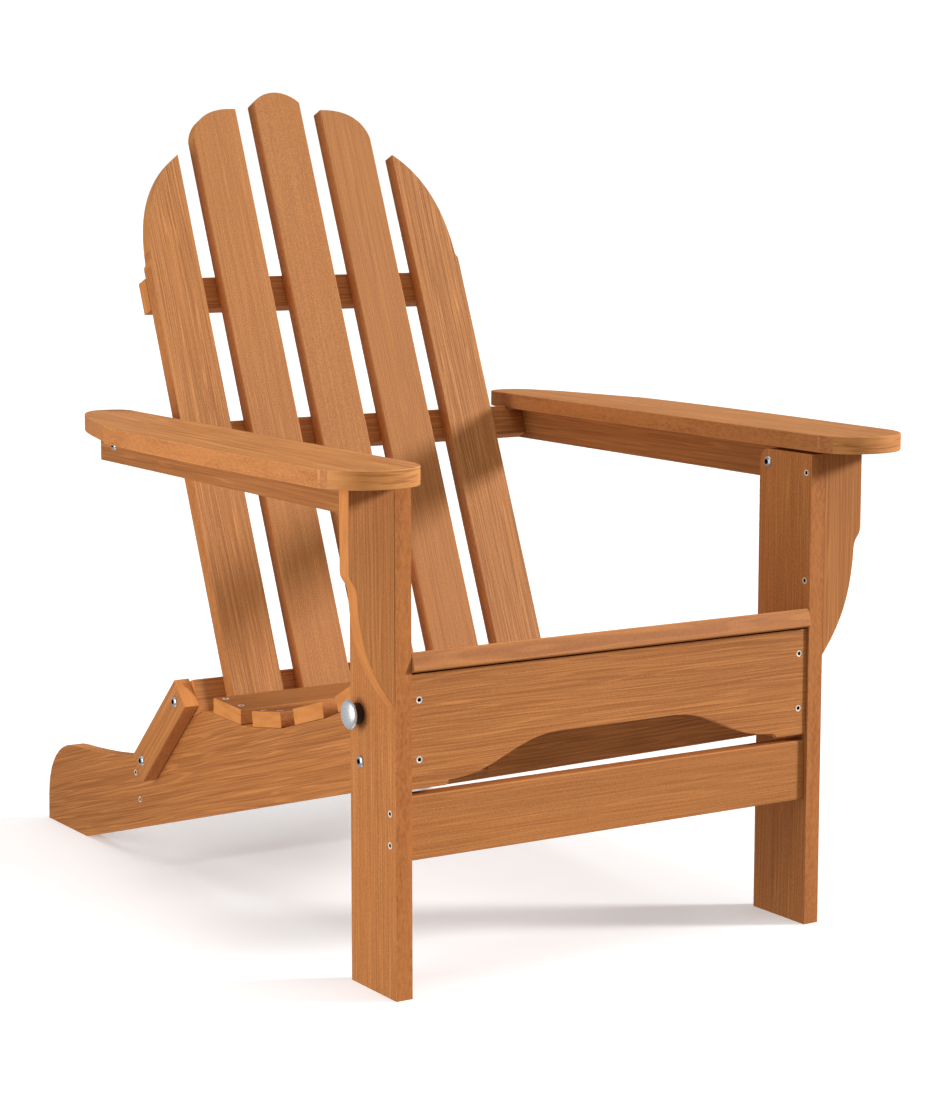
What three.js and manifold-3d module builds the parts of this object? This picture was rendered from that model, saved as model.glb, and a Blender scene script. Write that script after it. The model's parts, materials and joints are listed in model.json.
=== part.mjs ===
// A folding slatted garden armchair in thick wood-grain boards, standing open with its lock pins in.
// Millimetres, +Z up. X runs across the chair (the sitter's left is +X) and the front faces -Y.
// Lengths along Y are first given from the front edge of the front legs; FRAME_Y moves them so that
// the origin is on the ground under the middle of the whole chair.
//
// The frame folds in one plane. The legs turn on the seat (LEG_PIVOT), the struts turn on the seat
// (STRUT_FOOT) and on the back (STRUT_HEAD), and the arms turn on the back (ARM_REAR) and on the
// tops of the legs (ARM_FRONT).

import * as THREE from 'three';
import { mergeVertices } from 'three/addons/utils/BufferGeometryUtils.js';
import Module from 'manifold-3d';

const wasm = await Module();
wasm.setup();

// ---- driving dimensions ----

const GAP = 0.3; // air between neighbouring pieces
const BOARD = 19; // thickness of every frame board
const HALF_SEAT = 254; // half the clear width between the legs
const LEG_DEPTH = 90.5; // front to rear
const FOOT_REAR = 914.5; // rear end of the ground contact
const FOOT_FRONT = 797; // front end of the rear feet's ground contact
const ARM_NOSE = -53.7; // foremost point of the arm's rounded front

const RECLINE = THREE.MathUtils.degToRad(22.6); // the back, from upright
const BACK_FOOT = { y: 457.9, z: 225.8 }; // a point on the back slats' front face, where s = 0

const LEG_PIVOT = { y: 70, z: 235.4 };
const ARM_FRONT = { y: 76.3, z: 511.7 };
// The top of a leg is as far above the pivot as its rear edge is behind it.
const LEG_TOP = ARM_FRONT.z + LEG_DEPTH - ARM_FRONT.y;
const STRUT_FOOT = { y: 590, z: 138.5 };
const LOCK_PIN = { y: 72, z: 285 };

const SEAT_SLAT = { width: 67, thickness: 18 };
// Rear top corner of each seat slat, and how steeply the slat climbs towards the front, in degrees.
const SEAT_SLATS = [
  { y: 438, z: 238, climb: -2 },
  { y: 345, z: 238.3, climb: 9.1 },
  { y: 250.2, z: 257.1, climb: 16.3 },
  { y: 157.5, z: 286.1, climb: 27 },
  { y: 65, z: 336.8, climb: 17.5, thickness: 20 },
];

const BACK_SLAT = { width: 65, pitch: 91.8, foot: -5 };
// Heights up the back, of the crowns of the middle slat, of the next ones out and of the outer ones.
const CROWN = { middle: 760.4, middleRadius: 45, next: 737.6, nextSide: 699, outer: 677, outerSide: 545.5 };
const BACK_HALF = 2 * BACK_SLAT.pitch + BACK_SLAT.width / 2;

// Rails behind the back slats: s is the height up the back of a rail's middle.
const LOW_RAIL = { s: 15, width: 40, thickness: 38, half: HALF_SEAT };
const ARM_RAIL_CROSS = { s: 324, width: 38, thickness: BOARD, half: HALF_SEAT + BOARD };
const TOP_RAIL = { s: 505.5, width: 40, thickness: BOARD, half: BACK_HALF + 1 };

const LEG_INNER = HALF_SEAT + GAP;
const LEG_OUTER = LEG_INNER + BOARD;
const ARM_RAIL_INNER = LEG_OUTER + GAP;
const ARM_RAIL_OUTER = ARM_RAIL_INNER + BOARD;
const STRINGER_INNER = HALF_SEAT - BOARD;
const FRAME_Y = -(ARM_NOSE + FOOT_REAR) / 2;

const SCREW = { head: 3.7, shank: 1.9, cone: 3.2, length: 32, recess: 1.5, depth: 2, sides: 10 };
const BOLT = { head: 6.5, rise: 2.6, shank: 3.5, socket: 2.6, depth: 1.8, sides: 16 };
// Shanks: through one board into the next, through one board into a rail, and through one board only.
const BOLT_REACH = { board: 32, rail: 44, alone: BOARD - 0.2 };
const KNOB = { metal: 15.5, rim: 1.6, dome: 4.6, sleeve: 11, length: 10, pin: 4.5, sides: 28 };

// ---- materials ----

function standard(color, roughness, metalness = 0) {
  return new THREE.MeshStandardMaterial({ color, roughness, metalness });
}

const lumber = standard(0xb5703f, 0.55);
const steel = standard(0xc9ccd0, 0.3, 1);
const aluminium = standard(0xd4d8dc, 0.35, 1);
const rubber = standard(0x141416, 0.7);

// ---- geometry helpers ----

// Each matrix lays a flat outline's own axes on the chair's axes.
const SIDE_VIEW = new THREE.Matrix4().makeBasis(
  new THREE.Vector3(0, 1, 0),
  new THREE.Vector3(0, 0, 1),
  new THREE.Vector3(1, 0, 0),
);
const FRONT_VIEW = new THREE.Matrix4().makeBasis(
  new THREE.Vector3(1, 0, 0),
  new THREE.Vector3(0, 0, 1),
  new THREE.Vector3(0, -1, 0),
);

// The same surface with one shared vertex at each corner.
function welded(geometry) {
  const bare = geometry.clone();
  bare.deleteAttribute('normal');
  bare.deleteAttribute('uv');
  return mergeVertices(bare, 1e-4);
}

function toManifold(geometry) {
  const merged = welded(geometry);
  const positions = new Float32Array(merged.attributes.position.array);
  const triangles = new Uint32Array(merged.index.array);
  const mesh = new wasm.Mesh({ numProp: 3, vertProperties: positions, triVerts: triangles });
  return new wasm.Manifold(mesh);
}

function fromManifold(manifold) {
  const mesh = manifold.getMesh();
  const geometry = new THREE.BufferGeometry();
  geometry.setAttribute('position', new THREE.BufferAttribute(mesh.vertProperties, 3));
  geometry.setIndex(new THREE.BufferAttribute(mesh.triVerts, 1));
  return geometry;
}

function extruded(outline, thickness, curveSegments = 10) {
  return new THREE.ExtrudeGeometry(outline, { depth: thickness, bevelEnabled: false, curveSegments });
}

function rectangle(x0, x1, y0, y1) {
  const outline = new THREE.Shape();
  outline.moveTo(x0, y0);
  outline.lineTo(x1, y0);
  outline.lineTo(x1, y1);
  outline.lineTo(x0, y1);
  outline.closePath();
  return outline;
}

// A body of revolution about X, from [x, radius] points; it grows towards +X.
function turned(points, sides) {
  const profile = points.map(([x, radius]) => new THREE.Vector2(radius, x));
  const geometry = new THREE.LatheGeometry(profile, sides);
  geometry.rotateZ(-Math.PI / 2);
  return geometry;
}

function piece(parent, name, geometry, material, x = 0, y = 0, z = 0) {
  const mesh = new THREE.Mesh(geometry, material);
  mesh.name = name;
  mesh.position.set(x, y, z);
  parent.add(mesh);
  return mesh;
}

// Cuts each tool's clearance shape, or its own shape where it has none, out of a board.
function fit(board, tools) {
  board.updateWorldMatrix(true, false);
  const toBoard = board.matrixWorld.clone().invert();
  let body = toManifold(board.geometry);
  for (const tool of tools) {
    tool.updateWorldMatrix(true, false);
    const cutter = (tool.userData.clearance ?? tool.geometry).clone();
    cutter.applyMatrix4(tool.matrixWorld).applyMatrix4(toBoard);
    body = body.subtract(toManifold(cutter));
  }
  board.geometry = fromManifold(body);
}

const SIDES = [
  { side: 'right', sign: -1 },
  { side: 'left', sign: 1 },
];

const group = new THREE.Group();
const chair = new THREE.Group();
chair.position.y = FRAME_Y;
group.add(chair);

// ---- seat frame ----

function slatFrame({ y, z, climb }) {
  const frame = new THREE.Group();
  frame.position.set(0, y, z);
  frame.rotation.x = -THREE.MathUtils.degToRad(climb);
  chair.add(frame);
  return frame;
}

function seatSlats() {
  const last = SEAT_SLATS.length - 1;
  return SEAT_SLATS.map((place, index) => {
    const thickness = place.thickness ?? SEAT_SLAT.thickness;
    const outline = rectangle(-SEAT_SLAT.width, 0, -thickness, 0);
    const geometry = extruded(outline, 2 * HALF_SEAT).applyMatrix4(SIDE_VIEW);
    const name = index === last ? 'seat_slat_front' : `seat_slat_${index + 1}`;
    const slat = piece(slatFrame(place), name, geometry, lumber, -HALF_SEAT);
    slat.userData.clearance = slatRoom(thickness);
    return slat;
  });
}

// What the board under a seat slat gives up to it, with a shadow gap below the slat's lower face.
function slatRoom(thickness) {
  const margin = 20;
  const shadowGap = 1.2;
  const outline = rectangle(-SEAT_SLAT.width - margin, margin, -thickness - shadowGap, margin);
  const across = 2 * (HALF_SEAT + margin);
  return extruded(outline, across).applyMatrix4(SIDE_VIEW).translate(-margin, 0, 0);
}

// The two lower corners of a seat slat, rear one first, with the gap that keeps it off the stringer.
function slatSeating({ y, z, climb, thickness = SEAT_SLAT.thickness }) {
  const angle = THREE.MathUtils.degToRad(climb);
  const drop = thickness + GAP;
  const rear = [y - drop * Math.sin(angle), z - drop * Math.cos(angle)];
  const run = SEAT_SLAT.width;
  return [rear, [rear[0] - run * Math.cos(angle), rear[1] + run * Math.sin(angle)]];
}

function onBack(s, depth) {
  return {
    y: BACK_FOOT.y + s * Math.sin(RECLINE) + depth * Math.cos(RECLINE),
    z: BACK_FOOT.z + s * Math.cos(RECLINE) - depth * Math.sin(RECLINE),
  };
}

// Side outline: foot, hump, the ledge that carries the back's lowest rail, then a flat per slat.
function stringerOutline() {
  const slope = 0.2812;
  const bottomAt = (y) => (FOOT_FRONT - y) * slope;
  const frontEnd = APRON.front + BOARD + GAP;
  const ledge = LOW_RAIL.s - LOW_RAIL.width / 2 - GAP;
  const ledgeRear = onBack(ledge, BOARD + LOW_RAIL.thickness + 5);
  const ledgeFront = onBack(ledge, 9);
  const outline = new THREE.Shape();
  outline.moveTo(FOOT_FRONT, 0);
  outline.lineTo(FOOT_REAR, 0);
  outline.lineTo(FOOT_REAR - 1.5, 32);
  outline.bezierCurveTo(FOOT_REAR - 4, 78, 878, 108, 828, 111);
  outline.bezierCurveTo(780, 114, 716, 119, 656, 131);
  outline.bezierCurveTo(610, 141, 560, 172, ledgeRear.y, ledgeRear.z);
  outline.lineTo(ledgeFront.y, ledgeFront.z);
  for (const place of SEAT_SLATS) {
    const [rear, front] = slatSeating(place);
    outline.lineTo(rear[0], rear[1]);
    if (front[0] > frontEnd) {
      outline.lineTo(front[0], front[1]);
    } else {
      const share = (rear[0] - frontEnd) / (rear[0] - front[0]);
      outline.lineTo(frontEnd, rear[1] + share * (front[1] - rear[1]));
    }
  }
  outline.lineTo(frontEnd, bottomAt(frontEnd));
  outline.closePath();
  return outline;
}

function stringers() {
  return SIDES.map(({ side, sign }) => {
    const geometry = extruded(stringerOutline(), BOARD).applyMatrix4(SIDE_VIEW);
    const inner = sign < 0 ? -HALF_SEAT : STRINGER_INNER;
    return piece(chair, `stringer_${side}`, geometry, lumber, inner);
  });
}

// The board under the front slat, with a shallow arch between two small steps along its lower edge.
const APRON = { front: 3.1, top: 335.5, bottom: 216, step: 5, stepAt: 209, crown: 256.5, crownHalf: 74 };

function apron(frontSlat) {
  const { top, bottom, stepAt, crown, crownHalf } = APRON;
  const ledge = bottom + APRON.step;
  const toe = { x: 182, z: 224 };
  const outline = new THREE.Shape();
  outline.moveTo(-HALF_SEAT, bottom);
  outline.lineTo(-stepAt - 5, bottom);
  outline.quadraticCurveTo(-stepAt, bottom, -stepAt, ledge);
  outline.quadraticCurveTo(-toe.x - 10, ledge + 0.5, -toe.x, toe.z);
  outline.bezierCurveTo(-toe.x + 32, toe.z + 4, -crownHalf - 46, crown, -crownHalf, crown);
  outline.lineTo(crownHalf, crown);
  outline.bezierCurveTo(crownHalf + 46, crown, toe.x - 32, toe.z + 4, toe.x, toe.z);
  outline.quadraticCurveTo(toe.x + 10, ledge + 0.5, stepAt, ledge);
  outline.quadraticCurveTo(stepAt, bottom, stepAt + 5, bottom);
  outline.lineTo(HALF_SEAT, bottom);
  outline.lineTo(HALF_SEAT, top);
  outline.lineTo(-HALF_SEAT, top);
  outline.closePath();
  const geometry = extruded(outline, BOARD).applyMatrix4(FRONT_VIEW);
  const mesh = piece(chair, 'apron', geometry, lumber, 0, APRON.front + BOARD);
  fit(mesh, [frontSlat]);
  return mesh;
}

// The board that ties the stringers together behind the back.
const REAR_RAIL = { y: 643.5, z: 95, lean: THREE.MathUtils.degToRad(19.5), width: 80 };

function rearRail() {
  const half = REAR_RAIL.width / 2;
  const outline = rectangle(-BOARD / 2, BOARD / 2, -half, half);
  const reach = STRINGER_INNER - GAP;
  const geometry = extruded(outline, 2 * reach).applyMatrix4(SIDE_VIEW);
  const mesh = piece(chair, 'rear_rail', geometry, lumber, -reach, REAR_RAIL.y, REAR_RAIL.z);
  mesh.rotation.x = -REAR_RAIL.lean;
  return mesh;
}

// ---- leg frame ----

function legs() {
  const outline = new THREE.Shape();
  outline.moveTo(0, 0);
  outline.lineTo(LEG_DEPTH, 0);
  outline.lineTo(LEG_DEPTH, ARM_FRONT.z);
  outline.absarc(ARM_FRONT.y, ARM_FRONT.z, LEG_DEPTH - ARM_FRONT.y, 0, Math.PI / 2, false);
  outline.lineTo(0, LEG_TOP);
  outline.closePath();
  return SIDES.map(({ side, sign }) => {
    const geometry = extruded(outline, BOARD).applyMatrix4(SIDE_VIEW);
    return piece(chair, `leg_${side}`, geometry, lumber, sign < 0 ? -LEG_OUTER : LEG_INNER);
  });
}

// The shaped board that stands under the arm on the outside of each leg, flat to the front.
function brackets() {
  const outline = new THREE.Shape();
  outline.moveTo(0, LEG_TOP);
  outline.lineTo(0, 302);
  outline.bezierCurveTo(22, 330, 34, 356, 39, 386);
  outline.bezierCurveTo(42, 402, 42, 410, 43, 420);
  outline.bezierCurveTo(43.5, 431, 52, 432, 52, 443);
  outline.lineTo(52, LEG_TOP);
  outline.closePath();
  return SIDES.map(({ side, sign }) => {
    const geometry = extruded(outline, BOARD - GAP).applyMatrix4(FRONT_VIEW);
    const mesh = piece(chair, `bracket_${side}`, geometry, lumber, sign * ARM_RAIL_INNER, BOARD);
    if (sign < 0) {
      mesh.geometry = mirrored(geometry);
    }
    return mesh;
  });
}

// The same shape reflected in X, with its faces still pointing out.
function mirrored(geometry) {
  const copy = welded(geometry);
  copy.scale(-1, 1, 1);
  const index = copy.index.array;
  for (let corner = 0; corner < index.length; corner += 3) {
    const kept = index[corner];
    index[corner] = index[corner + 1];
    index[corner + 1] = kept;
  }
  return copy;
}

function lowerRail() {
  const front = 5.3;
  const outline = rectangle(front, front + BOARD, 142, 209);
  const geometry = extruded(outline, 2 * HALF_SEAT).applyMatrix4(SIDE_VIEW);
  return piece(chair, 'lower_rail', geometry, lumber, -HALF_SEAT);
}

// ---- back ----

// Local axes of the back: X across, Y up the slats, Z out of their front faces.
const back = new THREE.Group();
back.position.set(0, BACK_FOOT.y, BACK_FOOT.z);
back.rotation.x = Math.PI / 2 - RECLINE;
chair.add(back);

// Each crown runs from a slat's outer side over to its inner one; x grows away from the middle slat.
function middleCrown(outline, inner, outer) {
  const { middle, middleRadius } = CROWN;
  const steps = 12;
  for (let step = 0; step <= steps; step += 1) {
    const x = outer + ((inner - outer) * step) / steps;
    const drop = middleRadius - Math.sqrt(middleRadius ** 2 - x ** 2);
    outline.lineTo(x, middle - drop);
  }
}

function nextCrown(outline, inner, outer) {
  const { next, nextSide } = CROWN;
  outline.lineTo(outer, nextSide);
  outline.bezierCurveTo(outer - 5.5, nextSide + 28, outer - 30, next, inner + 7, next);
  outline.lineTo(inner, next);
}

// The outermost slats have a small shoulder where their crown begins.
function outerCrown(outline, inner, outer) {
  const { outer: top, outerSide } = CROWN;
  outline.lineTo(outer, outerSide - 11);
  outline.lineTo(outer - 0.5, outerSide - 7);
  outline.quadraticCurveTo(outer - 3.3, outerSide - 5, outer - 3.3, outerSide);
  outline.bezierCurveTo(outer - 5.8, outerSide + 50, outer - 21, top - 31, inner, top);
}

const CROWNS = [middleCrown, nextCrown, outerCrown];

function backSlats() {
  const places = [-2, -1, 0, 1, 2];
  return places.map((place, index) => {
    const step = Math.abs(place);
    const inner = step * BACK_SLAT.pitch - BACK_SLAT.width / 2;
    const outer = inner + BACK_SLAT.width;
    const outline = new THREE.Shape();
    outline.moveTo(inner, BACK_SLAT.foot);
    outline.lineTo(outer, BACK_SLAT.foot);
    CROWNS[step](outline, inner, outer);
    outline.closePath();
    const geometry = extruded(outline, BOARD, 16);
    const shape = place < 0 ? mirrored(geometry) : geometry;
    return piece(back, `back_slat_${index + 1}`, shape, lumber, 0, 0, -BOARD);
  });
}

function backRail(name, { s, width, thickness, half }) {
  const geometry = extruded(rectangle(-half, half, s - width / 2, s + width / 2), thickness);
  return piece(back, name, geometry, lumber, 0, 0, -BOARD - GAP - thickness);
}

// The rail at arm height runs in under the arms' inner edges, so its upper end corners are notched.
function notchArmHeightRail(rail) {
  const { s, width, thickness, half } = ARM_RAIL_CROSS;
  const notch = { in: 22, down: 6.2 };
  const top = s + width / 2;
  const low = top - notch.down;
  let body = toManifold(rail.geometry);
  for (const sign of [-1, 1]) {
    const near = sign < 0 ? -half - 1 : half - notch.in;
    const outline = rectangle(near, near + notch.in + 1, low, top + 1);
    const cutter = extruded(outline, thickness + 2).translate(0, 0, -1);
    body = body.subtract(toManifold(cutter));
  }
  rail.geometry = fromManifold(body);
}

const STRUT_HEAD = onBack(LOW_RAIL.s, BOARD + GAP + LOW_RAIL.thickness / 2);
const ARM_REAR = onBack(ARM_RAIL_CROSS.s, BOARD + GAP + ARM_RAIL_CROSS.thickness / 2);

// ---- struts ----

// A plain bar on the outside of each stringer, from the seat up to the end of the back's lowest rail.
function struts() {
  const width = 38;
  const past = 17;
  const run = { y: STRUT_HEAD.y - STRUT_FOOT.y, z: STRUT_HEAD.z - STRUT_FOOT.z };
  const length = Math.hypot(run.y, run.z);
  const outline = rectangle(-past, length + past, -width / 2, width / 2);
  return SIDES.map(({ side, sign }) => {
    const geometry = extruded(outline, BOARD).applyMatrix4(SIDE_VIEW);
    const inner = sign < 0 ? -LEG_OUTER : LEG_INNER;
    const mesh = piece(chair, `strut_${side}`, geometry, lumber, inner, STRUT_FOOT.y, STRUT_FOOT.z);
    mesh.rotation.x = Math.atan2(run.z, run.y);
    return mesh;
  });
}

// ---- arms ----

// Local axes of the arms: Y rearward from the front pivot to the rear one, Z up.
const arms = new THREE.Group();
arms.position.set(0, ARM_FRONT.y, ARM_FRONT.z);
arms.rotation.x = Math.atan2(ARM_REAR.z - ARM_FRONT.z, ARM_REAR.y - ARM_FRONT.y);
chair.add(arms);

const ARM = { railFront: -50, railRear: 570, railBottom: -20.7, railTop: 17.3, plateBottom: 17.6 };
const ARM_PLATE = { inner: 254.5, outer: 364, rear: 586, shoulder: 401 };

function armRails() {
  const corner = 18;
  const outline = new THREE.Shape();
  outline.moveTo(ARM.railFront + corner, ARM.railBottom);
  outline.lineTo(ARM.railRear, ARM.railBottom);
  outline.lineTo(ARM.railRear, ARM.railTop);
  outline.lineTo(ARM.railFront, ARM.railTop);
  outline.lineTo(ARM.railFront, ARM.railBottom + corner);
  const turnY = ARM.railFront + corner;
  const turnZ = ARM.railBottom + corner;
  outline.absarc(turnY, turnZ, corner, Math.PI, 1.5 * Math.PI, false);
  outline.closePath();
  return SIDES.map(({ side, sign }) => {
    const geometry = extruded(outline, BOARD, 5).applyMatrix4(SIDE_VIEW);
    const inner = sign < 0 ? -ARM_RAIL_OUTER : ARM_RAIL_INNER;
    return piece(arms, `arm_rail_${side}`, geometry, lumber, inner);
  });
}

// Plan of one arm: a bowed front, a nearly straight outer side, and a rear end that tapers to a
// rounded tip. Small shoulders mark where the front bow and the rear curve begin.
function armPlates() {
  const nose = ARM_NOSE - ARM_FRONT.y;
  const front = nose + 44;
  const { inner, outer, rear, shoulder } = ARM_PLATE;
  const step = 1.6;
  const outline = new THREE.Shape();
  outline.moveTo(inner, front + 2);
  outline.lineTo(inner + step, front);
  outline.bezierCurveTo(inner + step + 3, nose - 15, outer - 14, nose - 15, outer - step, front);
  outline.lineTo(outer, front + 2);
  outline.bezierCurveTo(outer + 5, 60, outer + 12, 240, outer + 2, shoulder);
  outline.lineTo(outer - 1.4, shoulder + 3);
  outline.bezierCurveTo(outer - 20, shoulder + 73, outer - 37, rear, outer - 79, rear);
  outline.bezierCurveTo(inner + 14, rear, inner + 1.5, rear - 3, inner, rear - 25);
  outline.closePath();
  return SIDES.map(({ side, sign }) => {
    const geometry = extruded(outline, BOARD, 18);
    const shape = sign < 0 ? mirrored(geometry) : geometry;
    return piece(arms, `arm_${side}`, shape, lumber, 0, 0, ARM.plateBottom);
  });
}

// ---- fasteners ----

// A countersunk screw about X: the head's face is at x = 0 and the shank runs towards -X.
function screwGeometry(grow, length) {
  const head = SCREW.head + grow;
  const shank = SCREW.shank + grow;
  const points = [[-length - grow, 0], [-length - grow, shank], [-SCREW.cone - grow, shank]];
  if (grow > 0) {
    points.push([0, head], [2, head], [2, 0]);
  } else {
    points.push([-0.6, head], [-0.1, head], [-0.1, SCREW.recess], [-SCREW.depth, SCREW.recess]);
    points.push([-SCREW.depth, 0]);
  }
  return turned(points, SCREW.sides);
}

// A domed bolt with a socket: the head sits on the plane x = 0 and the shank runs towards -X.
function boltGeometry(length) {
  const points = [[-length, 0], [-length, BOLT.shank], [GAP, BOLT.shank], [GAP, BOLT.head]];
  const crown = BOLT.rise;
  points.push([crown * 0.55, BOLT.head], [crown, BOLT.head * 0.78], [crown, BOLT.socket]);
  points.push([crown - BOLT.depth, BOLT.socket], [crown - BOLT.depth, 0]);
  return turned(points, BOLT.sides);
}

function boreGeometry(radius, length) {
  return turned([[-length - GAP, 0], [-length - GAP, radius], [8, radius], [8, 0]], BOLT.sides);
}

// How far a fastener turns about Z for its head to look in each direction.
const LOOKS = { '+x': 0, '-x': Math.PI, '-y': -Math.PI / 2 };

function fastener(name, geometry, clearance, look, x, y, z) {
  const mesh = piece(chair, name, geometry, steel, x, y, z);
  mesh.rotation.z = LOOKS[look];
  mesh.userData.clearance = clearance;
  return mesh;
}

function screw(name, look, x, y, z, length = SCREW.length) {
  return fastener(name, screwGeometry(0, length), screwGeometry(GAP, length), look, x, y, z);
}

function bolt(name, look, x, { y, z }, length) {
  const clearance = boreGeometry(BOLT.shank + GAP, length);
  return fastener(name, boltGeometry(length), clearance, look, x, y, z);
}

// A lock pin: a domed metal knob with its pin, and a rubber sleeve between the knob and the leg.
function lockPin(side, sign) {
  const face = LEG_OUTER;
  const out = sign < 0 ? '-x' : '+x';
  const sleeveEnd = GAP + KNOB.length;
  const base = sleeveEnd + GAP;
  const dome = [1, 0.93, 0.78, 0.55, 0.28, 0].map((radius) => {
    const rise = KNOB.dome * Math.sqrt(1 - radius ** 2);
    return [base + KNOB.rim + rise, KNOB.metal * radius];
  });
  const pinPoints = [[-BOARD + GAP, 0], [-BOARD + GAP, KNOB.pin], [base, KNOB.pin]];
  const knob = turned([...pinPoints, [base, KNOB.metal], ...dome], KNOB.sides);
  const bore = boreGeometry(KNOB.pin + GAP, HALF_SEAT);
  const { y, z } = LOCK_PIN;
  const pin = fastener(`lock_knob_${side}`, knob, bore, out, sign * face, y, z);
  pin.material = aluminium;
  const inner = KNOB.pin + GAP;
  const ring = [[GAP, inner], [GAP, KNOB.sleeve], [sleeveEnd, KNOB.sleeve], [sleeveEnd, inner]];
  const sleeve = turned([...ring, [GAP, inner]], KNOB.sides);
  const sleeveMesh = fastener(`lock_sleeve_${side}`, sleeve, sleeve, out, sign * face, y, z);
  sleeveMesh.material = rubber;
  return pin;
}

// ---- assembly ----

const slats = seatSlats();
const stringerPair = stringers();
const apronBoard = apron(slats[slats.length - 1]);
const rearBoard = rearRail();
const legPair = legs();
const bracketPair = brackets();
const lowerBoard = lowerRail();
backSlats();
const lowRail = backRail('back_rail_low', LOW_RAIL);
const crossRail = backRail('back_rail_arm_height', ARM_RAIL_CROSS);
backRail('back_rail_top', TOP_RAIL);
notchArmHeightRail(crossRail);
const strutPair = struts();
const armRailPair = armRails();
armPlates();

// Where the screws stand: x or y places a pair's line, and heights (or span) its two screws on it.
const APRON_SCREWS = { x: 243.5, heights: [307.1, 246.1] };
const LOWER_SCREWS = { y: 12, heights: [192.2, 159.6] };
const BRACKET_SCREWS = { y: 9.5, heights: [505.3, 386.3] };
const REAR_SCREWS = { span: 16.5 };

const apronScrews = [];
const lowerScrews = [];

SIDES.forEach(({ side, sign }, index) => {
  const outward = sign < 0 ? '-x' : '+x';
  const inward = sign < 0 ? '+x' : '-x';
  const stringer = stringerPair[index];
  const leg = legPair[index];
  const strut = strutPair[index];
  const armRail = armRailPair[index];

  const apronPair = APRON_SCREWS.heights.map((height, row) => (
    screw(`apron_screw_${side}_${row + 1}`, '-y', sign * APRON_SCREWS.x, APRON.front, height)
  ));
  const legScrews = LOWER_SCREWS.heights.map((height, row) => (
    screw(`leg_screw_${side}_${row + 1}`, outward, sign * LEG_OUTER, LOWER_SCREWS.y, height)
  ));
  const bracketScrews = BRACKET_SCREWS.heights.map((height, row) => (
    screw(`bracket_screw_${side}_${row + 1}`, inward, sign * LEG_INNER, BRACKET_SCREWS.y, height)
  ));
  const railScrews = [1, -1].map((end, row) => {
    const y = REAR_RAIL.y + end * REAR_SCREWS.span * Math.sin(REAR_RAIL.lean);
    const z = REAR_RAIL.z + end * REAR_SCREWS.span * Math.cos(REAR_RAIL.lean);
    return screw(`rear_rail_screw_${side}_${row + 1}`, outward, sign * HALF_SEAT, y, z);
  });

  const outer = sign * LEG_OUTER;
  const inner = sign * LEG_INNER;
  const armOuter = sign * ARM_RAIL_OUTER;
  const { board, rail, alone } = BOLT_REACH;
  const legBolt = bolt(`leg_bolt_${side}`, outward, outer, LEG_PIVOT, board);
  const footBolt = bolt(`strut_bolt_low_${side}`, outward, outer, STRUT_FOOT, board);
  const headBolt = bolt(`strut_bolt_top_${side}`, outward, outer, STRUT_HEAD, rail);
  const rearBolt = bolt(`arm_bolt_rear_${side}`, outward, armOuter, ARM_REAR, rail);
  const frontBolt = bolt(`arm_bolt_front_${side}`, inward, inner, ARM_FRONT, alone);
  const pin = lockPin(side, sign);

  fit(stringer, [legBolt, footBolt, pin, ...apronPair, ...railScrews]);
  fit(leg, [legBolt, frontBolt, pin, ...legScrews, ...bracketScrews]);
  fit(bracketPair[index], bracketScrews);
  fit(strut, [footBolt, headBolt]);
  fit(armRail, [rearBolt]);
  fit(lowRail, [headBolt]);
  fit(crossRail, [rearBolt]);
  fit(rearBoard, railScrews);
  apronScrews.push(...apronPair);
  lowerScrews.push(...legScrews);
});
fit(apronBoard, apronScrews);
fit(lowerBoard, lowerScrews);

export default group;
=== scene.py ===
"""A folding slatted garden armchair in thick wood-grain boards, standing open.

Every board is its CAD node's own shape with eased edges, and carries its own coordinates so that the
grain runs along it. The screws, pivot bolts and lock knobs are finer copies of their CAD nodes. The
screws that hold the slats and the arms are added here. Metres, in the frame's own axes: +Z up, the
front faces -Y, and the sitter's right is -X.
"""

import json
import math
import random

import bmesh
import bpy
import numpy as np
from mathutils import Matrix, Vector


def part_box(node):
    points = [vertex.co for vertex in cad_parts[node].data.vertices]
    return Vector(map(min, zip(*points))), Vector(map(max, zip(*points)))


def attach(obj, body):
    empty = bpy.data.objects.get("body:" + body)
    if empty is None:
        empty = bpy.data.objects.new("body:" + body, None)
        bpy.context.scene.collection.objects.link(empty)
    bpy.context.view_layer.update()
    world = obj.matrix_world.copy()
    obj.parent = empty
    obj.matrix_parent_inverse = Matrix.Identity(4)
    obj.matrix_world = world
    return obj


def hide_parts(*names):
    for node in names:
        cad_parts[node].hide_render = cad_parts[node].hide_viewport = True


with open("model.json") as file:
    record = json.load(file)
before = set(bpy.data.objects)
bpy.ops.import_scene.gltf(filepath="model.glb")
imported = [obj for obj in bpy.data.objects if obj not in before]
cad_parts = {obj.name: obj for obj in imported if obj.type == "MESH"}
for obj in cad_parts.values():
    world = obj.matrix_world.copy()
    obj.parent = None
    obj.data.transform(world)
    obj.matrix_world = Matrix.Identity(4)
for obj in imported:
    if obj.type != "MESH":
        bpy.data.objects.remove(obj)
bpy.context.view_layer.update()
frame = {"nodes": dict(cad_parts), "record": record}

# ---- driving values ----

MM = 0.001

FACTORY_EDGE = 1.7 * MM  # radius of the long edges that a board leaves the factory with
SAWN_EDGE = 0.6 * MM  # radius of a sawn end's edges
ROUTED_EDGE = 1.1 * MM  # radius all round a board that is cut to shape
EDGE_STEPS = 3
PARALLEL = 0.999  # unit vectors whose dot product is above this point the same way
WELD_REACH = 2e-6  # CAD corners this close are one corner
FLAT_ANGLE = 0.01  # CAD faces that meet at less than this are one flat
SHARP = math.radians(40)  # two faces that meet at more than this make an edge that is eased

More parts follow.
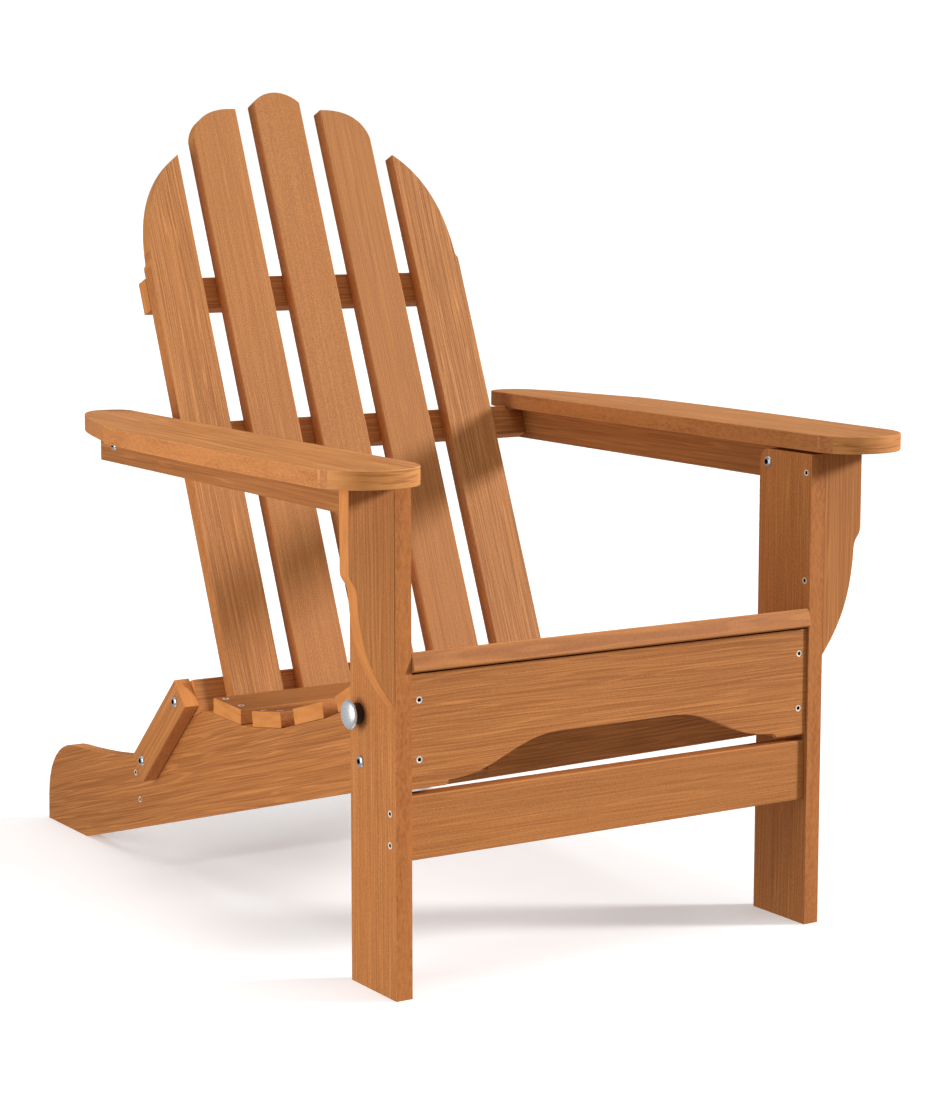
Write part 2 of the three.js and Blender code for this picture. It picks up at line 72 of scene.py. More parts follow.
# For each kind of board: how strong its grain is, how light its wide faces are, how warm it is, and how
# pebbled it is. The lightness and the warmth also paint light and shade on some kinds of board, as noted
# below. The longest key that a board's name starts with is the one that counts.
LOOK = {
    "stringer": (0.75, 0.88, 1.0, 0.5),
    "apron": (0.62, 0.95, 1.0, 0.5),
    "rear_rail": (0.7, 0.92, 1.0, 0.5),
    # The seat slats: wide faces much darker, as painted shade from the arms and the back.
    "seat_slat": (0.55, 0.65, 1.0, 0.5),
    "seat_slat_front": (0.6, 0.85, 1.0, 0.6),
    "leg": (0.5, 0.94, 1.0, 0.9),
    # The brackets: a little darker, as painted shade under the arms' fronts.
    "bracket": (0.5, 0.92, 0.9, 0.5),
    "lower_rail": (0.4, 0.94, 1.0, 0.7),
    # The back slats: paler and cooler, as a painted sheen.
    "back_slat_1": (0.8, 0.83, 0.3, 0.7),
    "back_slat_2": (0.35, 0.83, 0.3, 1.3),
    "back_slat_3": (0.25, 0.84, 0.3, 1.4),
    "back_slat_4": (0.4, 0.82, 0.3, 1.3),
    "back_slat_5": (0.8, 0.85, 0.2, 0.7),
    "back_rail": (0.7, 0.86, 0.8, 0.4),
    # The struts: a little darker, as painted shade.
    "strut": (0.7, 0.88, 0.8, 0.4),
    # The arm rails: darker, as painted shade under the arm boards.
    "arm_rail": (0.6, 0.72, 0.8, 0.4),
    # The arm boards: lighter, as painted light on their tops, and paler and cooler, as a painted sheen.
    "arm_": (0.85, 1.05, 0.0, 0.4),
}
SHAPED = ("stringer", "apron", "bracket", "arm_right", "arm_left")  # cut to a curved outline
ALL_SAWN = ("bracket",)  # sawn on every narrow side
COMBED_EDGES = ("seat_slat_front",)  # grained on the narrow sides as on the wide faces
COMBED_SHARE = 0.85  # how much of that grain they take
ARM_LAYERS = 0.75  # how dark the layers show where an arm board is sawn
OTHER_LAYERS = 0.12

# Sizes of the heads and of the lock pins, and how finely each turned piece is divided.
SCREW_HEAD = 3.7 * MM
BOLT_HEAD = 6.5 * MM
BOLT_RISE = 2.6 * MM
PIN_RADIUS = 4.5 * MM
SCREW_SIDES = 48
BOLT_SIDES = 60
KNOB_SIDES = 96
DOME_STEPS = 14
TURNED_SHARP = math.radians(35)  # a turned piece shows an edge where its faces meet at more than this

# The screws that only this model has: where they stand on each kind of board.
SEAT_SCREW_LINE = 244.5 * MM  # from the middle of the chair
SEAT_SCREW_ROWS = (12 * MM, 50 * MM)  # forward of a slat's rear edge
BACK_SLATS = 5
BACK_SCREW_OFFSET = 18 * MM  # to each side of a slat's middle
ARM_SCREW_SHARES = (0.12, 0.37, 0.62, 0.87)  # of an arm rail's length, from its front end
UNDERSIDE_REACH = 8 * MM  # an arm rail's corners this close above its lowest one are on its underside
CORNER_REACH = 0.5 * MM  # corners this close to the outermost one lie on the same face

CAMERA_PLACE = (-1.6186, -2.6997, 0.8355)
CAMERA_AZIMUTH = math.radians(-32.381)
CAMERA_DIP = math.radians(8.021)
CAMERA_LENS = 88.77
CAMERA_SENSOR = 36

AMBIENT = 0.35
# The direction that each sun shines from, its spread in degrees and its strength.
KEY_SUN = ((0.8, -0.46, 0.32), 10, 3.85)
TOP_SUN = ((0.0, -0.12, 1.0), 60, 1.3)
BOUNCE_SUN = ((0.0, 0.0, -1.0), 50, 0.8)
FILL_PLACE = (-1.4, -0.2, 0.42)
FILL_SIZE = 0.9
FILL_POWER = 13.5
FILL_TARGET = (-0.1, 0, 0.35)
FLOOR_SIZE = 90
FLOOR_COLOUR = (0.8, 0.8, 0.8, 1.0)
FLOOR_GLOW = 0.3
DOME_RADIUS = 40
DOME_GLOW = 1.05
WHITE = (1.0, 1.0, 1.0, 1.0)
BLACK = (0.0, 0.0, 0.0, 1.0)


def colour(red, green, blue):
    """A colour given as a screen shows it, from 0 to 255, as the linear values that shaders take."""
    def linear(value):
        share = value / 255
        return share / 12.92 if share <= 0.04045 else ((share + 0.055) / 1.055) ** 2.4

    return (linear(red), linear(green), linear(blue), 1.0)


# ---- shader helpers ----


class Shader:
    """A material and short ways to add and join its nodes."""

    def __init__(self, name):
        self.material = bpy.data.materials.new(name)
        self.material.use_nodes = True
        self.tree = self.material.node_tree
        self.surface = self.tree.nodes["Principled BSDF"]

    def node(self, kind, inputs=None, **settings):
        made = self.tree.nodes.new(kind)
        for key, value in settings.items():
            setattr(made, key, value)
        for key, value in (inputs or {}).items():
            self.feed(made.inputs[key], value)
        return made

    def feed(self, socket, value):
        """Joins a node's output to a socket, or sets the socket's own value."""
        if isinstance(value, bpy.types.NodeSocket):
            self.tree.links.new(value, socket)
        else:
            socket.default_value = value

    def attribute(self, name, output):
        return self.node("ShaderNodeAttribute", attribute_name=name).outputs[output]

    def math(self, operation, first, second=0.0, clamp=False):
        inputs = {0: first, 1: second}
        made = self.node("ShaderNodeMath", inputs, operation=operation, use_clamp=clamp)
        return made.outputs[0]

    def ramp(self, value, low, high, to_low=0.0, to_high=1.0):
        """Takes values between low and high smoothly to those between to_low and to_high."""
        inputs = {"Value": value, "From Min": low, "From Max": high, "To Min": to_low, "To Max": to_high}
        made = self.node("ShaderNodeMapRange", inputs, interpolation_type="SMOOTHSTEP")
        return made.outputs["Result"]

    def mix(self, share, first, second, blend="MIX"):
        made = self.node("ShaderNodeMix", data_type="RGBA", blend_type=blend)
        self.feed(made.inputs[0], share)
        self.feed(made.inputs[6], first)
        self.feed(made.inputs[7], second)
        return made.outputs[2]

    def stretched(self, vector, scale):
        made = self.node("ShaderNodeVectorMath", {0: vector, 1: scale}, operation="MULTIPLY")
        return made.outputs[0]

    def noise(self, vector, scale, detail=2.0, roughness=0.5):
        """Noise with its own scale along each axis, in cycles per metre."""
        inputs = {"Vector": self.stretched(vector, scale), "Scale": 1.0, "Detail": detail}
        inputs["Roughness"] = roughness
        return self.node("ShaderNodeTexNoise", inputs).outputs[0]

    def bump(self, height, distance, strength=1.0):
        inputs = {"Height": height, "Distance": distance, "Strength": strength}
        self.feed(self.surface.inputs["Normal"], self.node("ShaderNodeBump", inputs).outputs[0])

    def set(self, **values):
        for key, value in values.items():
            self.feed(self.surface.inputs[key.replace("_", " ")], value)


# ---- materials ----

LINE_LEVELS = 58.0  # how closely the light lines of the grain stand


class Grain:
    """The patterns that a board's surfaces share, laid out along the board's own axes."""

    def __init__(self, shader):
        self.place = shader.attribute("grain", "Vector")
        # The grain wanders a little from a straight line.
        drift = shader.noise(self.place, (4.5, 12.0, 12.0), detail=3.0)
        shift = shader.math("MULTIPLY", shader.math("SUBTRACT", drift, 0.5), 0.006)
        sideways = shader.node("ShaderNodeCombineXYZ", {1: shift}).outputs[0]
        added = shader.node("ShaderNodeVectorMath", {0: self.place, 1: sideways}, operation="ADD")
        self.moved = added.outputs[0]
        # Thin light lines stand where a smooth field crosses evenly spaced levels.
        contour = shader.noise(self.moved, (2.2, 105.0, 40.0), detail=1.0, roughness=0.4)
        wave = shader.math("SINE", shader.math("MULTIPLY", contour, LINE_LEVELS))
        self.line = shader.ramp(wave, 0.35, 1.0)
        fine = shader.noise(self.moved, (5.0, 430.0, 90.0), detail=2.0, roughness=0.6)
        self.streak = shader.ramp(fine, 0.32, 0.68)
        self.speckle = shader.noise(self.place, (760.0, 760.0, 760.0), detail=2.0, roughness=0.6)


def wide_face(shader, grain, strength, pebble):
    """The combed faces: light lines, finer streaks, pebbling and short dark dashes."""
    broad = shader.noise(grain.moved, (1.3, 34.0, 24.0), detail=2.0, roughness=0.5)
    tint = shader.math("MULTIPLY", grain.line, 0.36)
    tint = shader.math("ADD", tint, shader.math("MULTIPLY", grain.streak, 0.56))
    tint = shader.math("ADD", tint, shader.math("MULTIPLY", shader.ramp(broad, 0.3, 0.7), 0.16))
    tint = shader.math("MULTIPLY", shader.math("SUBTRACT", tint, 0.48), strength)
    grit = shader.math("SUBTRACT", shader.ramp(grain.speckle, 0.3, 0.7), 0.5)
    grit = shader.math("MULTIPLY", grit, 0.36)
    tint = shader.math("ADD", tint, shader.math("MULTIPLY", grit, pebble))
    share = shader.math("ADD", tint, 0.5, clamp=True)
    face = shader.mix(share, colour(142, 85, 41), colour(214, 149, 93))
    dashes = shader.noise(grain.moved, (24.0, 560.0, 300.0), detail=1.0)
    depth = shader.math("MULTIPLY", strength, 0.22)
    dash = shader.math("MULTIPLY", shader.ramp(dashes, 0.62, 0.78), depth)
    return shader.mix(dash, face, colour(122, 70, 33))


def long_edge(shader, grain):
    """The long narrow sides: a little redder, softly mottled, with a trace of the same streaks."""
    mottle = shader.noise(grain.place, (150.0, 420.0, 420.0), detail=3.0, roughness=0.6)
    edge = shader.mix(shader.ramp(mottle, 0.3, 0.7), colour(155, 95, 51), colour(183, 118, 68))
    edge = shader.mix(shader.math("MULTIPLY", grain.streak, 0.4), edge, colour(198, 132, 78))
    fleck = shader.math("MULTIPLY", shader.ramp(grain.speckle, 0.5, 0.75), 0.3)
    return shader.mix(fleck, edge, colour(208, 144, 90))


def sawn_face(shader, grain):
    """Sawn faces: brighter and smooth. On an arm's bowed ends the board's layers show as dark lines."""
    layers = shader.attribute("layers", "Fac")
    flow = shader.noise(grain.moved, (26.0, 26.0, 150.0), detail=2.0)
    cut = shader.mix(shader.ramp(flow, 0.3, 0.7), colour(189, 124, 69), colour(203, 139, 82))
    bedding = shader.noise(grain.moved, (16.0, 16.0, 330.0), detail=3.0, roughness=0.6)
    bed = shader.math("MULTIPLY", shader.ramp(bedding, 0.5, 0.68), layers)
    return shader.mix(bed, cut, colour(146, 86, 44))


def board_shade(shader, tone_and_shade, skin):
    """What a board's colour is multiplied by: its tone, on the wide faces only, and its warmth. The tone
    carries painted shade and painted light as well as the board's own tone, and a low warmth makes a
    board paler and cooler as a painted sheen.
    """
    warmth_vs_sheen = shader.attribute("warmth_vs_sheen", "Fac")
    tone_and_shade = shader.math("ADD", shader.math("MULTIPLY", shader.math("SUBTRACT", tone_and_shade, 1.0), skin), 1.0)
    green = shader.math("MULTIPLY", tone_and_shade, shader.ramp(warmth_vs_sheen, 0.0, 1.0, 0.985, 0.893))
    blue = shader.math("MULTIPLY", tone_and_shade, shader.ramp(warmth_vs_sheen, 0.0, 1.0, 0.88, 0.71))
    return shader.node("ShaderNodeCombineXYZ", {0: tone_and_shade, 1: green, 2: blue}).outputs[0]


def lumber_relief(shader, grain, skin, strength):
    """Raised lines and streaks on the wide faces, over fine pebbling."""
    line = shader.math("MULTIPLY", grain.line, 0.4)
    ridge = shader.math("ADD", line, shader.math("MULTIPLY", grain.streak, 0.6))
    relief = shader.math("MULTIPLY", shader.math("MULTIPLY", ridge, skin), strength)
    relief = shader.math("ADD", relief, shader.math("MULTIPLY", grain.speckle, 0.5))
    shader.bump(relief, 0.3 * MM, 0.6)


def lumber_material():
    """Golden-teak board, with one look for its wide faces, its long edges and its sawn faces."""
    shader = Shader("lumber")
    grain = Grain(shader)
    skin = shader.attribute("skin", "Fac")
    sawn = shader.attribute("sawn", "Fac")
    arris_highlight = shader.attribute("arris_highlight", "Fac")
    look = shader.node("ShaderNodeSeparateXYZ", {0: shader.attribute("look", "Vector")})
    strength, tone_and_shade, pebble = look.outputs

    side = shader.mix(sawn, long_edge(shader, grain), sawn_face(shader, grain))
    board = shader.mix(skin, side, wide_face(shader, grain, strength, pebble))
    # Painted highlight: the eased edges are lightened towards a pale colour, as if their rounding caught
    # the light.
    board = shader.mix(shader.math("MULTIPLY", arris_highlight, 0.4), board, colour(212, 148, 94))
    cloud = shader.noise(grain.place, (5.0, 17.0, 17.0), detail=2.0)
    board = shader.mix(shader.ramp(cloud, 0.3, 0.75, 0.0, 0.2), board, colour(188, 120, 64))
    # Tone and warmth, which carry painted shade, painted light and a painted sheen as well as the board's
    # own tone.
    board = shader.mix(1.0, board, board_shade(shader, tone_and_shade, skin), blend="MULTIPLY")

    lumber_relief(shader, grain, skin, strength)
    rough = shader.math("ADD", shader.math("MULTIPLY", grain.streak, 0.1), 0.56)
    shader.set(Base_Color=board, Roughness=rough, IOR=1.4, Specular_IOR_Level=0.28)
    return shader.material


def steel_material(name, dark, light, metal, smoothest, roughest):
    """Stainless steel, slightly brushed, between two colours and between two roughnesses."""
    shader = Shader(name)
    grain = shader.attribute("grain", "Vector")
    brush = shader.noise(grain, (900.0, 900.0, 900.0), detail=3.0, roughness=0.7)
    shader.bump(brush, 0.03 * MM, 0.5)
    tint = shader.mix(brush, dark, light)
    rough = shader.ramp(brush, 0.3, 0.7, smoothest, roughest)
    shader.set(Base_Color=tint, Metallic=metal, Roughness=rough)
    return shader.material


def socket_material():
    """The inside of a driver recess, painted near-black as shade; the steel in there is no darker than
    the head.
    """
    shader = Shader("steel_recess_shade")
    grain = shader.attribute("grain", "Vector")
    # Mottling within the painted shade.
    shade_mottle = shader.noise(grain, (700.0, 700.0, 700.0), detail=2.0)
    shader.set(Base_Color=shader.mix(shade_mottle, colour(6, 6, 7), colour(26, 26, 28)), Roughness=0.9)
    shader.set(Specular_IOR_Level=0.1)
    return shader.material


def knob_material():
    """Turned aluminium with fine rings round the axis."""
    shader = Shader("knob_metal")
    place = shader.node("ShaderNodeSeparateXYZ", {0: shader.attribute("grain", "Vector")})
    flat = shader.node("ShaderNodeCombineXYZ", {0: place.outputs[1], 1: place.outputs[2]}).outputs[0]
    radius = shader.node("ShaderNodeVectorMath", {0: flat}, operation="LENGTH").outputs["Value"]
    along = shader.node("ShaderNodeCombineXYZ", {0: radius, 1: place.outputs[0]}).outputs[0]
    rings = shader.noise(along, (2600.0, 900.0, 1.0), detail=3.0, roughness=0.7)
    shader.bump(rings, 0.03 * MM, 0.6)
    tint = shader.mix(rings, colour(184, 187, 192), colour(232, 234, 236))
    rough = shader.ramp(rings, 0.3, 0.7, 0.24, 0.4)
    shader.set(Base_Color=tint, Metallic=0.7, Roughness=rough)
    return shader.material


def sleeve_material():
    """Black rubber."""
    shader = Shader("knob_sleeve")
    grain = shader.attribute("grain", "Vector")
    fine = shader.noise(grain, (1500.0, 1500.0, 1500.0), detail=2.0)
    shader.bump(fine, 0.05 * MM, 0.4)
    shader.set(Base_Color=shader.mix(fine, colour(16, 16, 18), colour(38, 37, 38)), Roughness=0.46)
    return shader.material


LUMBER = lumber_material()
SCREW_STEEL = steel_material("screw_steel", colour(214, 200, 184), colour(240, 228, 212), 0.35, 0.5, 0.62)
BOLT_STEEL = steel_material("bolt_steel", colour(172, 171, 172), colour(224, 222, 222), 0.85, 0.2, 0.32)
# The driver recesses take a near-black painted shade.
RECESS_SHADE = socket_material()
ALUMINIUM = knob_material()
RUBBER = sleeve_material()


# ---- piece helpers ----


def body_of_node(name):
    """The body that a CAD node belongs to."""
    for body, members in frame["record"]["behaviour"]["bodies"].items():
        if name in members:
            return body
    raise KeyError(name)


def point_values(mesh, name, kind, values, domain="POINT"):
    """Stores one value, or one vector, for each point or corner of a mesh."""
    layer = mesh.attributes.new(name, kind, domain)
    key = "vector" if kind == "FLOAT_VECTOR" else "value"
    layer.data.foreach_set(key, np.asarray(values, np.float32).ravel())


def add_piece(name, mesh, body, materials):
    """Puts a mesh in the scene as a piece that rides on a body."""
    for material in materials:
        mesh.materials.append(material)
    piece = bpy.data.objects.new(name, mesh)
    bpy.context.scene.collection.objects.link(piece)
    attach(piece, body)
    return piece


# ---- boards ----

FASTENER_NODES = [n for n in frame["nodes"] if "screw" in n or "bolt" in n or n.startswith("lock_knob")]


def fastener_axis(name):
    """The axis that a fastener lies on: 1 (Y) for the apron's screws and 0 (X) for all others."""
    return 1 if name.startswith("apron_screw") else 0


def fastener_lines():
    """Each fastener's axis, and its two other coordinates."""
    lines = []
    for name in FASTENER_NODES:
        axis = fastener_axis(name)
        low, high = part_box(name)
        others = [k for k in range(3) if k != axis]
        lines.append((others, [(low[k] + high[k]) / 2 for k in others]))
    return lines


LINES = fastener_lines()
HOLE_REACH = 5.5 * MM  # a corner this close to a fastener's line is on its hole


def in_hole(point):
    """Whether a corner lies on the rim of a fastener's hole."""
    for others, centre in LINES:
        if math.hypot(point[others[0]] - centre[0], point[others[1]] - centre[1]) < HOLE_REACH:
            return True
    return False


def cleaned(node):
    """The node's surface with merged corners and one face for each flat."""
    work = bmesh.new()
    work.from_mesh(node.data)
    bmesh.ops.remove_doubles(work, verts=work.verts, dist=WELD_REACH)
    bmesh.ops.dissolve_limit(work, angle_limit=FLAT_ANGLE, verts=work.verts, edges=work.edges)
    bmesh.ops.recalc_face_normals(work, faces=work.faces)
    return work


def board_axes(work):
    """The board's own axes as rows: along its longest straight edge, across it, and through it."""
    widest = max(work.faces, key=lambda face: face.calc_area())
    through = widest.normal.normalized()
    flat = [face for face in work.faces if abs(face.normal.dot(through)) > PARALLEL]
    # A dict keeps the edges in order, so that of equally long ones the same one is picked in each run.
    edges = dict.fromkeys(edge for face in flat for edge in face.edges if len(edge.link_faces) == 2)
    outline = [edge for edge in edges if edge.calc_face_angle(0.0) > SHARP]
    longest = max(outline, key=lambda edge: edge.calc_length())
    along = (longest.verts[1].co - longest.verts[0].co).normalized()
    if along.dot(Vector((1, 1, 1))) < 0:
        along.negate()
    across = through.cross(along).normalized()
    return Matrix((along, across, through))


def edge_radius(edge, along, shaped):
    """How far an edge is rounded: alike all round a shaped board, less at a straight board's ends."""
    if shaped:
        return ROUTED_EDGE
    direction = (edge.verts[1].co - edge.verts[0].co).normalized()
    return FACTORY_EDGE if abs(direction.dot(along)) > PARALLEL else SAWN_EDGE


def board_look(name):
    """The row of LOOK that a board takes."""
    best = max((key for key in LOOK if name.startswith(key)), key=len)
    return LOOK[best]


def eased_board(name, seed):
    """A board with eased edges that stands for its CAD node."""
    shaped = name.startswith(SHAPED)
    work = cleaned(frame["nodes"][name])
    axes = board_axes(work)
    weight = work.edges.layers.float.new("bevel_weight_edge")
    for edge in work.edges:
        if edge.calc_face_angle(0.0) < SHARP:
            continue
        if in_hole(edge.verts[0].co) and in_hole(edge.verts[1].co):
            continue
        edge[weight] = edge_radius(edge, axes[0], shaped) / FACTORY_EDGE
    rough = bpy.data.meshes.new(name + "_rough")
    work.to_mesh(rough)
    work.free()

    holder = bpy.data.objects.new(name + "_holder", rough)
    bpy.context.scene.collection.objects.link(holder)
    bevel = holder.modifiers.new("eased", "BEVEL")
    bevel.limit_method = "WEIGHT"
    bevel.width = FACTORY_EDGE
    bevel.segments = EDGE_STEPS
    bevel.use_clamp_overlap = True
    bpy.context.view_layer.update()
    finished = holder.evaluated_get(bpy.context.evaluated_depsgraph_get())
    mesh = bpy.data.meshes.new_from_object(finished)
    bpy.data.objects.remove(holder)
    bpy.data.meshes.remove(rough)
    mesh.name = name + "_board"

    dress_board(mesh, axes, name, seed)
    settle_normals(mesh)
    piece = add_piece(name + "_board", mesh, body_of_node(name), [LUMBER])
    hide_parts(name)


def face_kind(normal, turn, name):
    """What a face with this normal is: its share of wide face, of sawn surface and of eased edge, which
    takes a painted highlight.
    """
    along, across, through = turn @ np.array(normal)
    sideways = math.hypot(along, across)
    # Wide faces look through the board; an eased edge goes over from wide to narrow as it turns.
    skin = min(max((abs(through) - 0.25) / 0.5, 0.0), 1.0)
    if sideways < 0.05:
        return skin, 0.0, 0.0
    # An eased edge gets a share of painted highlight, as if its rounding caught the light.
    arris_highlight = min(1.0, 2.2 * min(abs(through), sideways)) if abs(through) > 0.1 else 0.0
    if name.startswith(COMBED_EDGES):
        skin = max(skin, COMBED_SHARE)
    # A narrow side that doesn't run along the board is sawn. An arm's long sides bow, so they may turn
    # farther and still count as long edges.
    limit = 0.93 if name.startswith("arm_") else 0.995
    sawn = 1.0 if abs(across) / sideways < limit or name.startswith(ALL_SAWN) else 0.0
    return skin, sawn, arris_highlight


def dress_board(mesh, axes, name, seed):
    """Stores the board's own coordinates and look, and for each face what kind of surface it is."""
    count = len(mesh.vertices)
    places = np.empty(count * 3)
    mesh.vertices.foreach_get("co", places)
    turn = np.array(axes)
    own = places.reshape(-1, 3) @ turn.T
    own -= (own.min(0) + own.max(0)) / 2
    picks = random.Random(seed)
    offset = np.array([picks.uniform(0, 9), picks.uniform(0, 3), picks.uniform(0, 1)])
    point_values(mesh, "grain", "FLOAT_VECTOR", own + offset)
    strength, tone_and_shade, warmth_vs_sheen, pebble = board_look(name)
    tone_and_shade *= picks.uniform(0.985, 1.015)
    point_values(mesh, "look", "FLOAT_VECTOR", np.tile([strength, tone_and_shade, pebble], (count, 1)))
    point_values(mesh, "warmth_vs_sheen", "FLOAT", np.full(count, warmth_vs_sheen))
    layers = ARM_LAYERS if name.startswith("arm_") and "rail" not in name else OTHER_LAYERS
    point_values(mesh, "layers", "FLOAT", np.full(count, layers))

    kinds = np.zeros((len(mesh.loops), 3))
    for face in mesh.polygons:
        kinds[list(face.loop_indices)] = face_kind(face.normal, turn, name)
    for column, key in enumerate(("skin", "sawn", "arris_highlight")):
        point_values(mesh, key, "FLOAT", kinds[:, column], domain="CORNER")


def settle_normals(mesh):
    """Shades each flat as flat and lets the eased edges between flats blend from one to the next."""
    for face in mesh.polygons:
        face.use_smooth = True
    planes = []
    areas = {}
    around = {}
    for face in mesh.polygons:
        normal = face.normal.copy()
        offset = normal.dot(mesh.vertices[face.vertices[0]].co)
        plane = (round(normal.x, 2), round(normal.y, 2), round(normal.z, 2), round(offset / MM, 1))
        planes.append((plane, normal))
        areas[plane] = areas.get(plane, 0.0) + face.area
        for point in face.vertices:
            around.setdefault(point, []).append(face.index)
    blend = math.cos(SHARP)
    normals = []
    for face in mesh.polygons:
        own = planes[face.index][1]
        for point in face.vertices:
            total = Vector((0, 0, 0))
            for other in around[point]:
                plane, normal = planes[other]
                if normal.dot(own) > blend:
                    total += normal * (areas[plane] ** 2)
            normals.append(total.normalized() if total.length > 0 else own)
    mesh.normals_split_custom_set([tuple(normal) for normal in normals])


BOARDS = [part["node"] for part in frame["record"]["subparts"] if part["material_slot"] == "lumber"]
for index, board_name in enumerate(BOARDS):
    eased_board(board_name, seed=index + 1)


# ---- turned fasteners ----


def turned_mesh(name, work):
    """Finishes a turned body: smooth round its axis, with its own coordinates for the brushing."""
    bmesh.ops.recalc_face_normals(work, faces=work.faces)
    for edge in work.edges:
        edge.smooth = edge.calc_face_angle(0.0) < TURNED_SHARP
    mesh = bpy.data.meshes.new(name)
    work.to_mesh(mesh)
    work.free()
    for face in mesh.polygons:
        face.use_smooth = True
    point_values(mesh, "grain", "FLOAT_VECTOR", [vertex.co for vertex in mesh.vertices])
    return mesh


def ring_solid(name, rings, sides):
    """A closed body about X. Each ring is (x, radius), where radius is a number or a function of angle.

    The rings with a function make the driver recess, which takes the piece's second material: a
    near-black painted shade.
    """
    work = bmesh.new()
    rows = []
    for x, radius in rings:
        row = []
        for step in range(sides):
            angle = 2 * math.pi * step / sides
            size = radius(angle) if callable(radius) else radius
            row.append(work.verts.new((x, size * math.cos(angle), size * math.sin(angle))))
        rows.append(row)
    for (_, radius), row, following in zip(rings, rows, rows[1:]):
        for step in range(sides):
            after = (step + 1) % sides
            face = work.faces.new((row[step], row[after], following[after], following[step]))
            face.material_index = int(callable(radius))
    work.faces.new(list(reversed(rows[0])))
    end = work.faces.new(rows[-1])
    end.material_index = int(callable(rings[-1][1]))
    return turned_mesh(name, work)


def tube_solid(name, rings, sides):
    """A closed body about X whose last ring joins its first, so that it has a bore."""
    work = bmesh.new()
    rows = []
    for x, radius in rings:
        angles = [2 * math.pi * step / sides for step in range(sides)]
        rows.append([work.verts.new((x, radius * math.cos(a), radius * math.sin(a))) for a in angles])
    for index, row in enumerate(rows):
        following = rows[(index + 1) % len(rows)]
        for step in range(sides):
            after = (step + 1) % sides
            work.faces.new((row[step], row[after], following[after], following[step]))
    return turned_mesh(name, work)


def lobed(size, depth=0.16):
    """A six-lobed recess outline."""
    return lambda angle: size * (1 + depth * math.cos(6 * angle))


def hexagon(flat):
    """A hexagon outline, given half its width across the flats."""
    return lambda angle: flat / math.cos((angle + math.pi / 6) % (math.pi / 3) - math.pi / 6)


def screw_rings(length):
    """A countersunk screw from its point, at -length, to its face at x = 0."""
    head = SCREW_HEAD
    shank = 0.51 * head
    driver = 0.46 * head
    return [
        (-length, 0.1 * shank),
        (-length + 2.2 * shank, shank),
        (-0.92 * head, shank),
        (-0.16 * head, head),
        (-0.05 * head, head),
        (0.0, 0.95 * head),
        (-0.02 * head, lobed(1.22 * driver, 0.1)),
        (-0.10 * head, lobed(driver)),
        (-0.55 * head, lobed(0.86 * driver)),
    ]


def bolt_rings(length):
    """A button-headed bolt from the end of its shank to the crown, which is at x = 0."""
    head = BOLT_HEAD
    rise = BOLT_RISE
    shank = 0.54 * head
    seat = -rise
    flat = 0.38 * head
    crown = [(seat + rise * math.sin(turn), head * (0.55 + 0.45 * math.cos(turn)))
             for turn in (0.0, 0.35, 0.7, 1.0, 1.3)]
    return [
        (-length, 0.86 * shank),
        (-length + 0.14 * shank, shank),
        (seat, shank),
        (seat, 0.97 * head),
        (seat + 0.12 * rise, head),
        *[(seat + 0.12 * rise + (x - seat) * 0.88, radius) for x, radius in crown[1:]],
        (0.0, hexagon(1.14 * flat)),
        (-0.12 * rise, hexagon(flat)),
        (-0.75 * rise, hexagon(0.97 * flat)),
    ]


def head_direction(name):
    """The direction in which a fastener's head faces."""
    if name.startswith("apron_screw"):
        return Vector((0, -1, 0))
    sign = -1 if "right" in name else 1
    inward = name.startswith(("bracket_screw", "arm_bolt_front"))
    return Vector((-sign if inward else sign, 0, 0))


def placed(mesh, point, look):
    """Turns a mesh made about X so that its +X faces look, and moves it to point, in its vertices."""
    turn = Vector((1, 0, 0)).rotation_difference(look).to_matrix().to_4x4()
    mesh.transform(Matrix.Translation(point) @ turn)


def node_fastener(name):
    """A finer screw or bolt where its CAD node is."""
    low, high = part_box(name)
    look = head_direction(name)
    centre = (low + high) / 2
    reach = abs((high - low).dot(look))
    tip = centre + look * reach / 2
    if "screw" in name:
        mesh = ring_solid(name + "_fine", screw_rings(reach), SCREW_SIDES)
        steel = SCREW_STEEL
    else:
        mesh = ring_solid(name + "_fine", bolt_rings(reach), BOLT_SIDES)
        steel = BOLT_STEEL
    placed(mesh, tip, look)
    piece = add_piece(name + "_fine", mesh, body_of_node(name), [steel, RECESS_SHADE])
    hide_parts(name)


for fastener in FASTENER_NODES:
    if not fastener.startswith("lock_knob"):
        node_fastener(fastener)


# ---- screws that only the visual model has ----


def surface_screw(name, point, look, body):
    """A screw whose head lies on a board that has no hole for it: only the head shows."""
    head = SCREW_HEAD
    proud = 0.2 * MM
    rings = [
        (-8 * MM, 0.4 * head),
        (-0.6 * head, 0.5 * head),
        (-proud, 0.97 * head),
        (-0.2 * proud, 0.97 * head),
        (0.0, 0.9 * head),
        (-0.1 * proud, lobed(0.46 * head, 0.1)),
        (-0.7 * proud, lobed(0.4 * head)),
    ]
    mesh = ring_solid(name, rings, SCREW_SIDES)
    placed(mesh, point + look * proud, look)
    add_piece(name, mesh, body, [SCREW_STEEL, RECESS_SHADE])


def corners_of(name):
    """A board's corners, as its CAD node has them."""
    return [vertex.co.copy() for vertex in frame["nodes"][name].data.vertices]


def square_to(name):
    """The direction square to a board's wide faces."""
    work = cleaned(frame["nodes"][name])
    through = board_axes(work)[2].copy()
    work.free()
    return through


def outermost(name, direction):
    """The corners of the board's face that lies farthest in a direction."""
    corners = corners_of(name)
    farthest = max(corner.dot(direction) for corner in corners)
    return [corner for corner in corners if corner.dot(direction) > farthest - CORNER_REACH]


